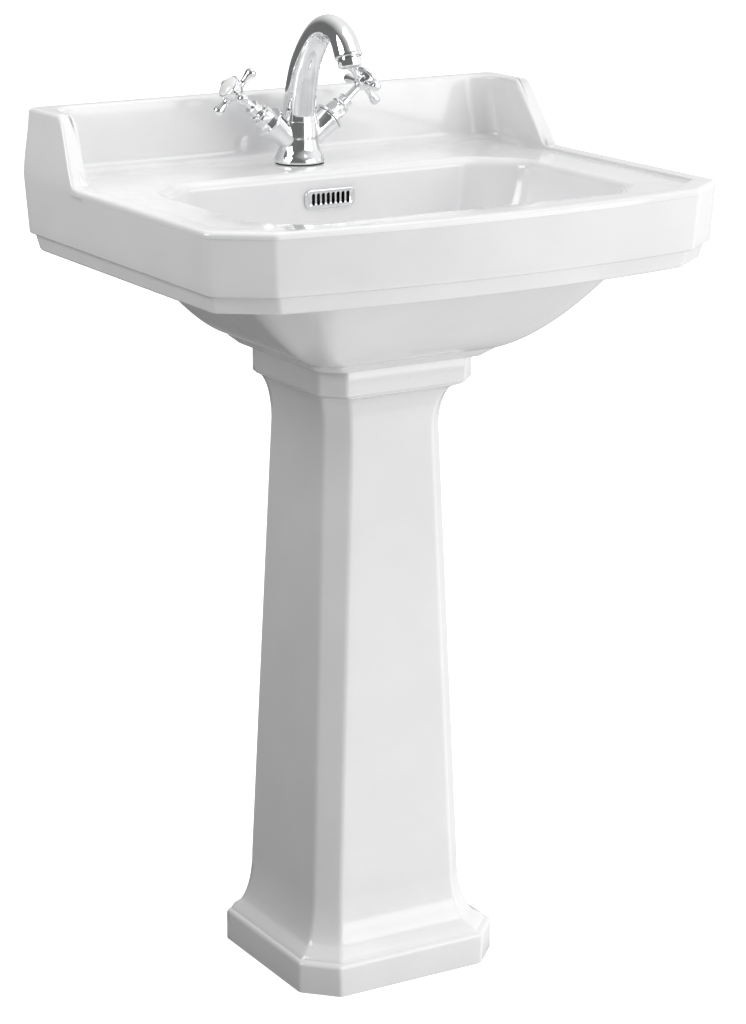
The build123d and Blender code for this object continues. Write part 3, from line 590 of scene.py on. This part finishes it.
def pedestal_levels():
    """Height, size, corner cut and corner radius of each section, from the foot up."""
    def grown(size, amount):
        return size[0] + amount, size[1], size[2] + amount

    foot_r, plinth_r, capital_r, top_r = 2.0, 5.0, 3.5, 1.5
    plinth_corner, cove_corner, shaft_corner, capital_corner = 7, 9, 10, 8
    plinth_middle_z, capital_middle_z = 18, 680
    for s, c in quarter(4):
        yield foot_r * (1 - c), grown(PLINTH, -foot_r * (1 - s)), PLINTH_CUT, plinth_corner
    yield plinth_middle_z, PLINTH, PLINTH_CUT, plinth_corner
    for s, c in quarter(7):
        yield (PLINTH_Z - 2 + plinth_r * s, grown(PLINTH, -plinth_r * (1 - c)),
               PLINTH_CUT - 1, plinth_corner + 1)
    over = grown(PLINTH, -9)
    slope_steps = 16
    for i in range(slope_steps + 1):
        t = i / slope_steps
        fall = 1 - sqrt(1 - (1 - t) ** 2)
        yield (lerp(PLINTH_Z + 8, SHAFT_FOOT_Z, t), blend(SHAFT_FOOT, over, fall),
               lerp(SHAFT_CUT, PLINTH_CUT - 4, fall), cove_corner)
    for t in inner_steps(12):
        yield (lerp(SHAFT_FOOT_Z, SHAFT_TOP_Z, t), blend(SHAFT_FOOT, SHAFT_TOP, t),
               SHAFT_CUT, shaft_corner)
    under = grown(CAPITAL, -capital_r)
    flare_steps = 14
    for i in range(flare_steps + 1):
        t = i / flare_steps
        spread_out = 1 - sqrt(1 - t ** 2)
        yield (lerp(SHAFT_TOP_Z, CAPITAL_Z - 1.5, t), blend(SHAFT_TOP, under, spread_out),
               SHAFT_CUT, cove_corner)
    for s, c in quarter(5):
        yield (CAPITAL_Z + capital_r * (1 - c), grown(CAPITAL, -capital_r * (1 - s)),
               SHAFT_CUT, capital_corner)
    yield capital_middle_z, CAPITAL, SHAFT_CUT, capital_corner
    for s, c in quarter(4):
        yield (FOOT_Z - top_r + top_r * s, grown(CAPITAL, -top_r * (1 - c)),
               SHAFT_CUT, capital_corner)


def build_pedestal():
    """The hollow ware, open at its back, closed over its wall's thickness at both ends."""
    rings = [wall_section(size, cut, radius, z) for z, size, cut, radius in pedestal_levels()]
    shell = skin("pedestal_ware", rings)
    count = len(rings[0])
    outer = 2 * (SIDE_COUNT + 2 * ARC_COUNT + CUT_COUNT + FACE_COUNT) - 1
    edge = len(BACK_EDGE_STEPS)
    bm = bmesh.new()
    bm.from_mesh(shell.data)
    bm.verts.ensure_lookup_table()
    last = (len(rings) - 1) * count
    for base in (0, last):
        pairs = [(i, 2 * outer + edge - 1 - i) for i in range(outer)]
        for (a, b), (c, d) in zip(pairs, pairs[1:]):
            bm.faces.new([bm.verts[base + k] for k in (a, c, d, b)])
        for ends in ([outer - 1, *range(outer, outer + edge), outer + edge],
                     [0, *range(count - 1, count - 1 - edge, -1), 2 * outer + edge - 1]):
            bm.faces.new([bm.verts[base + k] for k in ends])
    bm.to_mesh(shell.data)
    bm.free()
    return finish_mesh(shell, 40)


def build_lugs():
    """Two lugs inside the foot, each with its screw hole."""
    lugs = []
    for side in (-1, 1):
        x = side * LUG_X
        lug = block(f"foot_lug_{side}", point(x - LUG_HALF, LUG_BACK, 0.2),
                    point(x + LUG_HALF, LUG_FRONT, LUG_TOP))
        cut_with(lug, turned("cutter", Matrix.Translation(point(x, LUG_HOLE_OUT, -5)),
                             [(LUG_HOLE_R, 0), (LUG_HOLE_R, 25)]))
        lugs.append(lug)
    return lugs


# ---------------------------------------------------------------- tap
ARM_ANGLE = radians(40)      # the arms rise at this angle
ARM_Z = DECK_Z + 16          # where the two arms' axes meet
ARM_END = 48.0               # the bonnets start here, along the arm
HANDLE_AT = 104.0            # middle of the cross, along the arm
CAP_AT = 112.0               # seat of the porcelain cap, along the arm
AXIS = 0.01                  # a turned profile ends this close to its axis
SPOUT_ROOT_Z = DECK_Z + 47
LOBE_TURN = {"hot": 77.0, "cold": 4.0}   # how each cross stands at rest, in degrees


def arm_place(side):
    """Frame of a valve arm: its z runs out along the arm, its x towards the wall."""
    axis = Vector((side * cos(ARM_ANGLE), 0, sin(ARM_ANGLE)))
    x_dir = Vector((0, 1, 0))
    return Matrix.Translation(point(0, TAP_OUT, ARM_Z)) @ axes(x_dir, axis.cross(x_dir), axis)


def between(p, q, r, s, t):
    """Catmull-Rom value from q at t = 0 to r at t = 1, with p before and s after them."""
    return 0.5 * (2 * q + (r - p) * t + (2 * p - 5 * q + 4 * r - s) * t * t
                  + (3 * q - p - 3 * r + s) * t ** 3)


def smooth_profile(points, per):
    """Curve through (radius, height) pairs, with this many steps between two of them."""
    padded = [points[0], *points, points[-1]]
    curve = []
    for a, b, c, d in zip(padded, padded[1:], padded[2:], padded[3:]):
        for i in range(per):
            curve.append(tuple(between(*four, i / per) for four in zip(a, b, c, d)))
    return curve + [points[-1]]


def joined(objs, name):
    """Several pieces as one object, under a new name."""
    with bpy.context.temp_override(active_object=objs[0], object=objs[0],
                                   selected_objects=objs, selected_editable_objects=objs):
        bpy.ops.object.join()
    objs[0].name = name
    return objs[0]


def melted(objs, name, voxel, passes):
    """One smooth skin round several overlapping pieces; the voxel is in millimetres."""
    obj = joined(objs, name)
    remesh = obj.modifiers.new("melt", "REMESH")
    remesh.mode = "VOXEL"
    remesh.voxel_size = voxel * MM
    apply_modifier(obj, remesh)
    relax = obj.modifiers.new("relax", "SMOOTH")
    relax.factor = 0.5
    relax.iterations = passes
    apply_modifier(obj, relax)
    return finish_mesh(obj, 60)


def build_tap_body():
    """Foot, waist and two flared arms, cast in one."""
    waist = smooth_profile([(27.8, 3.4), (26.6, 7.0), (24.4, 11.5), (22.6, 16.0),
                            (21.3, 23.0), (20.8, 32.0), (19.8, 46.3)], 24)
    profile = [(AXIS, 0), (27.0, 0), (27.8, 1.0), (28.0, 2.2), *waist, (AXIS, 46.5)]
    parts = [turned("column", Matrix.Translation(point(0, TAP_OUT, TAP_FOOT_Z)), profile, 256)]
    cone = smooth_profile([(12.8, 2), (13.2, 18), (13.8, 30), (14.9, 40), (16.0, ARM_END)], 24)
    for side in (-1, 1):
        parts.append(turned("arm", arm_place(side), [(AXIS, 0), *cone, (AXIS, ARM_END)], 200))
    return melted(parts, "tap_body_cast", 0.65, 14)


# The spout's centre line, as distance from the wall and height above its root
SPOUT_POINTS = [(70.0, 0.0), (70.6, 10.0), (75.0, 36.0), (84.0, 62.0), (101.0, 86.0),
                (119.0, 101.4), (137.0, 106.6), (154.0, 103.8), (167.0, 94.5), (177.0, 78.5)]
SPOUT_ROOT_R, SPOUT_NECK_R, SPOUT_TIP_R, SPOUT_NECK_AT = 19.5, 13.0, 14.8, 0.72


def spout_centre(t):
    """A point of the spout's centre line, t from 0 at its root to 1 at its tip."""
    count = len(SPOUT_POINTS) - 1
    here = min(int(t * count), count - 1)
    f = t * count - here
    p = SPOUT_POINTS[max(here - 1, 0)]
    q, r = SPOUT_POINTS[here], SPOUT_POINTS[here + 1]
    s = SPOUT_POINTS[min(here + 2, count)]
    return [between(*four, f) for four in zip(p, q, r, s)]


def spout_radius(t):
    """Outer radius: it narrows evenly to the neck, then swells to the tip."""
    if t < SPOUT_NECK_AT:
        return lerp(SPOUT_ROOT_R, SPOUT_NECK_R, t / SPOUT_NECK_AT)
    return lerp(SPOUT_NECK_R, SPOUT_TIP_R, ease((t - SPOUT_NECK_AT) / (1 - SPOUT_NECK_AT)))


def spout_tip_direction():
    return Vector((0, -0.32, -1)).normalized()


def tube_ring(centre, along, across, radius, count):
    """A circle square to a direction, with its first point on the across side."""
    up = along.cross(across)
    turns = [2 * pi * i / count for i in range(count)]
    return [centre + (across * cos(a) + up * sin(a)) * radius * MM for a in turns]


def build_spout():
    """Swan neck with a tip that rolls in round the aerator and is closed a little way inside.
    """
    steps, count = 72, 64
    rings = []
    across, down = Vector((1, 0, 0)), spout_tip_direction()
    for i in range(steps + 1):
        t = i / steps
        out, up = spout_centre(t)
        before, after = spout_centre(max(0, t - 0.01)), spout_centre(min(1, t + 0.01))
        along = (point(0, *after) - point(0, *before)).normalized() if i < steps else down
        centre = point(0, out, SPOUT_ROOT_Z + up)
        rings.append(tube_ring(centre, along, across, spout_radius(t), count))
    tip = rings[-1]
    centre = sum(tip, Vector()) / count
    rings[-1] = [p - down * 1.2 * MM for p in tip]
    for draw, push in ((0.3, -0.5), (1.0, 0.0), (2.2, 0.0), (2.6, -2.0), (4.0, -2.5)):
        scale = 1 - draw / spout_radius(1)
        rings.append([centre + (p - centre) * scale + down * push * MM for p in tip])
    return finish_mesh(capped(skin("spout_neck", rings)), 45)


def build_aerator_housing():
    """Ring screwed into the spout's tip."""
    out, up = spout_centre(1)
    down = spout_tip_direction()
    x_dir = Vector((1, 0, 0))
    place = (Matrix.Translation(point(0, out, SPOUT_ROOT_Z + up))
             @ axes(x_dir, down.cross(x_dir), down))
    profile = [(9.0, 0.1), (11.9, 0.1), (11.9, 1.4), (12.7, 2.0), (12.7, 9.6), (12.3, 10.4),
               (11.5, 10.9), (9.6, 10.9), (9.0, 10.4)]
    return turned_ring("aerator_ring", place, profile, 72, 30)


# The bonnet from the arm's end outwards, as (radius, height) pairs: flange, then gland and
# collars; the nut between them has its corners trimmed to the first number of each pair
SPINDLE_BORE_R = 4.25
NUT_FLAT_R = 10.9
FLANGE_PROFILE = [(SPINDLE_BORE_R, 0), (17.4, 0), (18.0, 0.5), (18.0, 2.2), (17.3, 2.9),
                  (13.6, 3.2)]
NUT_TRIMS = [(11.7, 3.4), (12.4, 4.2), (12.4, 13.8), (11.6, 14.8)]
GLAND_PROFILE = [(10.2, 15.2), (9.0, 15.4), (9.0, 17.4), (10.3, 18.0), (10.9, 19.2),
                 (10.3, 20.6), (8.2, 21.2), (7.4, 22.4), (7.2, 27.4), (8.3, 28.0),
                 (8.3, 29.4), (7.5, 30.0), (SPINDLE_BORE_R, 30.0)]


def hexagon(place, trim, height, count):
    """Points round the nut, with its corners trimmed to a radius."""
    ring = []
    for i in range(count):
        a = 2 * pi * i / count
        within = (a + pi / 6) % (pi / 3) - pi / 6
        radius = min(NUT_FLAT_R / cos(within), trim)
        ring.append(place @ (Vector((radius * cos(a), radius * sin(a), height)) * MM))
    return ring


def build_bonnet(side, name):
    """Flange, six-sided nut with rounded corners, gland and collars, bored for the spindle."""
    place, count = arm_place(side), 96
    rings = [circle(place, radius, ARM_END + up, count) for radius, up in FLANGE_PROFILE]
    rings += [hexagon(place, trim, ARM_END + up, count) for trim, up in NUT_TRIMS]
    rings += [circle(place, radius, ARM_END + up, count) for radius, up in GLAND_PROFILE]
    return finish_mesh(skin(f"{name}_bonnet_turned", rings, closed=True), 28)


def build_handle(side, name):
    """Hub with collars and four lobes that swell towards rounded ends."""
    place = arm_place(side)
    hub_profile = smooth_profile([(6.2, 97.6), (8.8, 99.6), (10.6, 102.5), (11.9, 106.0),
                                  (12.6, 109.5), (12.9, 111.6)], 12)
    pieces = [turned("hub", place, [(AXIS, 96.2), (5.6, 96.2), (6.2, 96.8), *hub_profile,
                                    (AXIS, 111.9)], 128)]
    lobe = smooth_profile([(5.4, 4.0), (4.6, 9.0), (3.7, 13.0), (3.6, 16.0), (4.6, 20.4),
                           (5.8, 24.4), (6.1, 27.0), (5.3, 29.7), (3.4, 31.2), (1.2, 31.5)], 12)
    for quarter_turn in range(4):
        turn = radians(LOBE_TURN[name] + 90 * quarter_turn)
        aim = Vector((cos(turn), sin(turn), 0))
        local = Vector((0, 0, 1)).rotation_difference(aim).to_matrix().to_4x4()
        at = place @ Matrix.Translation(Vector((0, 0, HANDLE_AT * MM))) @ local
        pieces.append(turned("lobe", at, [(AXIS, 2.0), *lobe, (AXIS, 31.5)], 96))
    return melted(pieces, f"{name}_cross", 0.4, 7)


def build_cap(side, name):
    """Domed porcelain cap."""
    radius, shoulder, swell, steps = 12.4, 113.8, 5.6, 16
    turns = [pi / 2 * (1 - i / steps) for i in range(steps)]
    dome = [(radius * sin(a), shoulder + swell * cos(a)) for a in turns]
    profile = [(AXIS, CAP_AT), (radius, CAP_AT), *dome, (AXIS, 119.4)]
    return turned(f"{name}_cap_domed", arm_place(side), profile, 96, 60)


def build_cap_rim(side, name):
    """Plated rim that holds the porcelain."""
    profile = [(12.5, CAP_AT), (13.5, CAP_AT), (14.0, 112.5), (14.0, 113.6), (13.7, 114.3),
               (13.1, 114.6), (12.5, 114.3)]
    return turned_ring(f"{name}_cap_rim", arm_place(side), profile, 96, 50)


# ---------------------------------------------------------------- overflow grille and mouth
GRILLE_CORNER_R = 6.8
SLOTS, SLOT_PITCH, SLOT_HALF_W, SLOT_HALF_H = 8, 6.1, 2.0, 6.5
CORNER_SIGNS = ((1, 1), (-1, 1), (-1, -1), (1, -1))


def build_grille():
    """Frame with rounded corners and a row of upright slots."""
    steps, edge = 10, 1.3
    rings = []

    def plate(shrink, depth):
        """A rounded rectangle, drawn in by shrink, this far in front of the grille's back."""
        half, high = GRILLE_HALF - shrink, GRILLE_HIGH / 2 - shrink
        radius = GRILLE_CORNER_R - shrink
        ring = []
        for corner, (sx, sz) in enumerate(CORNER_SIGNS):
            for i in range(steps):
                a = pi / 2 * (corner + i / (steps - 1))
                ring.append(point(sx * (half - radius) + radius * cos(a), GRILLE_OUT + depth,
                                  GRILLE_Z + sz * (high - radius) + radius * sin(a)))
        rings.append(ring)

    plate(0.4, 0)
    plate(0, 0.3)
    plate(0, GRILLE_T - edge)
    for s, c in quarter(6)[1:]:
        plate(edge * (1 - c), GRILLE_T - edge + edge * s)
    plate(4.6, GRILLE_T)
    plate(5.2, GRILLE_T - 0.5)
    grille = finish_mesh(capped(skin("grille_frame", rings)), 40)
    for i in range(SLOTS):
        cut_with(grille, slot_bar((i - (SLOTS - 1) / 2) * SLOT_PITCH))
    return finish_mesh(grille, 40)


def slot_bar(x):
    """Upright bar with round ends, through the grille."""
    steps = 9
    rings = []
    for depth in (-3, GRILLE_T + 3):
        ring = []
        for end in (0, 1):
            z = (SLOT_HALF_H - SLOT_HALF_W) * (1 - 2 * end)
            for i in range(steps):
                a = pi * (end + i / (steps - 1))
                ring.append(point(x + SLOT_HALF_W * cos(a), GRILLE_OUT + depth,
                                  GRILLE_Z + z + SLOT_HALF_W * sin(a)))
        rings.append(ring)
    return finish_mesh(capped(skin("cutter", rings)))


def build_throat():
    """Black lining of the overflow's mouth, closed behind."""
    behind_grille = GRILLE_OUT - 0.4
    rings = []
    for shrink, out in ((1.5, 114.5), (1.5, behind_grille), (0.2, behind_grille), (0.2, 112.5)):
        x, z = MOUTH_HALF - shrink, MOUTH_HIGH - shrink
        rings.append([point(sx * x, out, GRILLE_Z + sz * z) for sx, sz in CORNER_SIGNS])
    return finish_mesh(capped(skin("overflow_throat", rings)))


# ---------------------------------------------------------------- materials
def material(name, colour, roughness, metallic=0.0):
    """A new material, its node tree and its shader."""
    mat = bpy.data.materials.new(name)
    mat.use_nodes = True
    tree = mat.node_tree
    shader = tree.nodes["Principled BSDF"]
    shader.inputs["Base Color"].default_value = (*colour, 1)
    shader.inputs["Roughness"].default_value = roughness
    shader.inputs["Metallic"].default_value = metallic
    return mat, tree, shader


def noise(tree, scale, detail=2.0):
    """Noise in object space, its scale in cells per metre."""
    place = tree.nodes.new("ShaderNodeTexCoord")
    grain = tree.nodes.new("ShaderNodeTexNoise")
    grain.inputs["Scale"].default_value = scale
    grain.inputs["Detail"].default_value = detail
    tree.links.new(place.outputs["Object"], grain.inputs["Vector"])
    return grain.outputs["Fac"]


def ramp(tree, value, low, high, at=(0.35, 0.65)):
    """Two colours, or two greys, spread over a value."""
    node = tree.nodes.new("ShaderNodeValToRGB")
    for element, place, shade in zip(node.color_ramp.elements, at, (low, high)):
        element.position = place
        element.color = (*shade, 1) if hasattr(shade, "__len__") else (shade, shade, shade, 1)
    tree.links.new(value, node.inputs["Fac"])
    return node.outputs["Color"]


def bump(tree, shader, value, strength, distance):
    """Unevenness from a value; distance is in metres."""
    node = tree.nodes.new("ShaderNodeBump")
    node.inputs["Strength"].default_value = strength
    node.inputs["Distance"].default_value = distance
    tree.links.new(value, node.inputs["Height"])
    tree.links.new(node.outputs["Normal"], shader.inputs["Normal"])


def glaze():
    """White glaze: faint pooling in its colour, and a surface that is not quite flat."""
    mat, tree, shader = material("white_glaze", (0.86, 0.86, 0.865), 0.16)
    shader.inputs["Coat Weight"].default_value = 0.7
    shader.inputs["Coat Roughness"].default_value = 0.05
    shader.inputs["IOR"].default_value = 1.52
    tree.links.new(ramp(tree, noise(tree, 14, 3), (0.845, 0.845, 0.855), (0.875, 0.875, 0.875)),
                   shader.inputs["Base Color"])
    tree.links.new(ramp(tree, noise(tree, 40), 0.13, 0.2), shader.inputs["Roughness"])
    bump(tree, shader, noise(tree, 45, 1), 0.06, 0.002)
    return mat


def chrome():
    """Polished plating with faint wipe marks."""
    mat, tree, shader = material("chrome_plate", (0.83, 0.84, 0.85), 0.05, 1.0)
    tree.links.new(ramp(tree, noise(tree, 160, 4), 0.03, 0.08), shader.inputs["Roughness"])
    tree.links.new(ramp(tree, noise(tree, 60), (0.80, 0.81, 0.82), (0.87, 0.875, 0.88)),
                   shader.inputs["Base Color"])
    bump(tree, shader, noise(tree, 120, 1), 0.03, 0.001)
    return mat


def porcelain():
    """Glossy white of the index caps."""
    mat, tree, shader = material("porcelain_index", (0.86, 0.86, 0.85), 0.1)
    shader.inputs["Coat Weight"].default_value = 1.0
    tree.links.new(ramp(tree, noise(tree, 120), (0.83, 0.83, 0.82), (0.88, 0.88, 0.87)),
                   shader.inputs["Base Color"])
    return mat


def machined(name, low, high, roughness):
    """Metal with a fine grain, between two colours."""
    mat, tree, shader = material(name, high, roughness, 1.0)
    tree.links.new(ramp(tree, noise(tree, 220, 5), low, high), shader.inputs["Base Color"])
    tree.links.new(ramp(tree, noise(tree, 500, 3), roughness * 0.7, roughness * 1.4),
                   shader.inputs["Roughness"])
    bump(tree, shader, noise(tree, 900, 2), 0.15, 0.0004)
    return mat


def moulded(name, low, high, roughness):
    """Rubber or plastic with a finely grained skin, between two colours."""
    mat, tree, shader = material(name, high, roughness)
    tree.links.new(ramp(tree, noise(tree, 90, 3), low, high), shader.inputs["Base Color"])
    bump(tree, shader, noise(tree, 1400, 2), 0.12, 0.0003)
    return mat


MATERIALS = {
    "ceramic": glaze(),
    "chrome": chrome(),
    "white_insert": porcelain(),
    "brass": machined("brass_turned", (0.62, 0.45, 0.20), (0.74, 0.57, 0.28), 0.25),
    "copper": machined("copper_drawn", (0.70, 0.36, 0.24), (0.83, 0.48, 0.34), 0.25),
    "steel": machined("steel_plated", (0.50, 0.51, 0.53), (0.66, 0.67, 0.68), 0.3),
    "rubber": moulded("rubber_black", (0.018, 0.018, 0.018), (0.035, 0.035, 0.035), 0.6),
    "plastic": moulded("plastic_white", (0.74, 0.74, 0.73), (0.82, 0.82, 0.81), 0.35),
}


def dress(obj, body, slot, *nodes):
    """Give a new piece the material of its slot, attach it to its body, and hide the frame
    nodes it stands for.
    """
    obj.data.materials.clear()
    obj.data.materials.append(MATERIALS[slot])
    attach(obj, body)
    if nodes:
        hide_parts(*nodes)


for part in frame["record"]["subparts"]:
    node = frame["nodes"][part["node"]]
    for slot in node.material_slots:
        slot.material = MATERIALS[part["material_slot"]]

dress(build_basin(), "sink", "ceramic", "basin")
dress(build_pedestal(), "sink", "ceramic", "pedestal")
for lug_piece in build_lugs():
    dress(lug_piece, "sink", "ceramic")
dress(build_tap_body(), "sink", "chrome", "tap_body")
dress(build_spout(), "sink", "chrome", "spout")
dress(build_aerator_housing(), "sink", "chrome", "aerator_housing")
dress(build_grille(), "sink", "chrome", "overflow_grille")
dress(build_throat(), "sink", "rubber", "overflow_sleeve")
for side, name in ((-1, "hot"), (1, "cold")):
    dress(build_bonnet(side, name), "sink", "chrome", f"{name}_valve_bonnet")
    dress(build_handle(side, name), f"{name}_tap", "chrome", f"{name}_handle")
    dress(build_cap(side, name), f"{name}_tap", "white_insert", f"{name}_index_cap")
    dress(build_cap_rim(side, name), f"{name}_tap", "chrome")


# ---------------------------------------------------------------- floor, light and camera
def build_stage():
    """A world that shades the chrome and the glaze, and a plain pale floor."""
    world = bpy.data.worlds.new("studio")
    bpy.context.scene.world = world
    world.use_nodes = True
    tree = world.node_tree
    place = tree.nodes.new("ShaderNodeTexCoord")

    def glow(towards, low, high, at):
        """Grey that rises from low to high towards a direction."""
        facing = tree.nodes.new("ShaderNodeVectorMath")
        facing.operation = "DOT_PRODUCT"
        facing.inputs[1].default_value = Vector(towards).normalized()
        tree.links.new(place.outputs["Generated"], facing.inputs[0])
        return ramp(tree, facing.outputs["Value"], low, high, at)

    # Bright above on the right, dim on the left, and a softer glow from below in front
    both = tree.nodes.new("ShaderNodeVectorMath")
    tree.links.new(glow((0.7, 0.1, 0.7), 0.17, 1.0, (-0.15, 0.8)), both.inputs[0])
    tree.links.new(glow((0.4, -0.3, -0.85), 0.0, 0.6, (0.2, 0.8)), both.inputs[1])
    tree.links.new(both.outputs["Vector"], tree.nodes["Background"].inputs["Color"])
    reach = 40
    edges = [[Vector((x, y, 0)) for x in (-reach, reach)] for y in (-reach, reach)]
    floor = skin("floor", edges, looped=False)
    floor.visible_diffuse = False
    floor.visible_glossy = False
    mat, tree, shader = material("studio_floor", (0.9, 0.9, 0.9), 0.6)
    shader.inputs["Emission Color"].default_value = (1, 1, 1, 1)
    shader.inputs["Emission Strength"].default_value = 0.82
    tree.links.new(ramp(tree, noise(tree, 3), 0.88, 0.9), shader.inputs["Base Color"])
    floor.data.materials.append(mat)


def soft_light(name, place, aim, width, height, power):
    """Rectangular area light, in metres and watts."""
    data = bpy.data.lights.new(name, "AREA")
    data.shape = "RECTANGLE"
    data.size, data.size_y = width, height
    data.energy = power
    lamp = bpy.data.objects.new(name, data)
    bpy.context.scene.collection.objects.link(lamp)
    lamp.location = place
    lamp.rotation_euler = (Vector(aim) - Vector(place)).to_track_quat("-Z", "Y").to_euler()


def build_camera():
    """Camera at the photo's three-quarter angle, on a long lens."""
    turn, lift, roll = radians(-28.73), radians(14.84), radians(-0.47)
    distance, focus = 3.334, point(-1.5, 6.25, 503.5)
    back = Vector((sin(turn) * cos(lift), -cos(turn) * cos(lift), sin(lift)))
    right = Vector((cos(turn), sin(turn), 0))
    up = back.cross(right)
    right_rolled = right * cos(roll) + up * sin(roll)
    up_rolled = back.cross(right_rolled)
    data = bpy.data.cameras.new("camera")
    data.sensor_width = 36
    data.lens = 102.2
    data.shift_x, data.shift_y = 0.0976, -0.0335
    camera = bpy.data.objects.new("camera", data)
    bpy.context.scene.collection.objects.link(camera)
    camera.matrix_world = (Matrix.Translation(focus + back * distance)
                           @ axes(right_rolled, up_rolled, back))
    bpy.context.scene.camera = camera


build_stage()
# Each light: name, place, what it faces, width, height and power
soft_light("key", (1.4, -3.0, 1.3), (0, 0, 0.6), 3.0, 2.4, 44)
soft_light("bounce", (0.4, -1.1, 0.02), (0.1, 0.1, 0.8), 1.4, 0.7, 1.5)
soft_light("top", (0.4, -0.6, 2.6), (0.1, 0, 0.8), 1.6, 1.6, 7)
soft_light("left_fill", (-1.3, 0.1, 1.5), (-0.25, 0, 0.85), 0.8, 0.8, 9)
build_camera()
bpy.context.scene.view_settings.view_transform = "Standard"
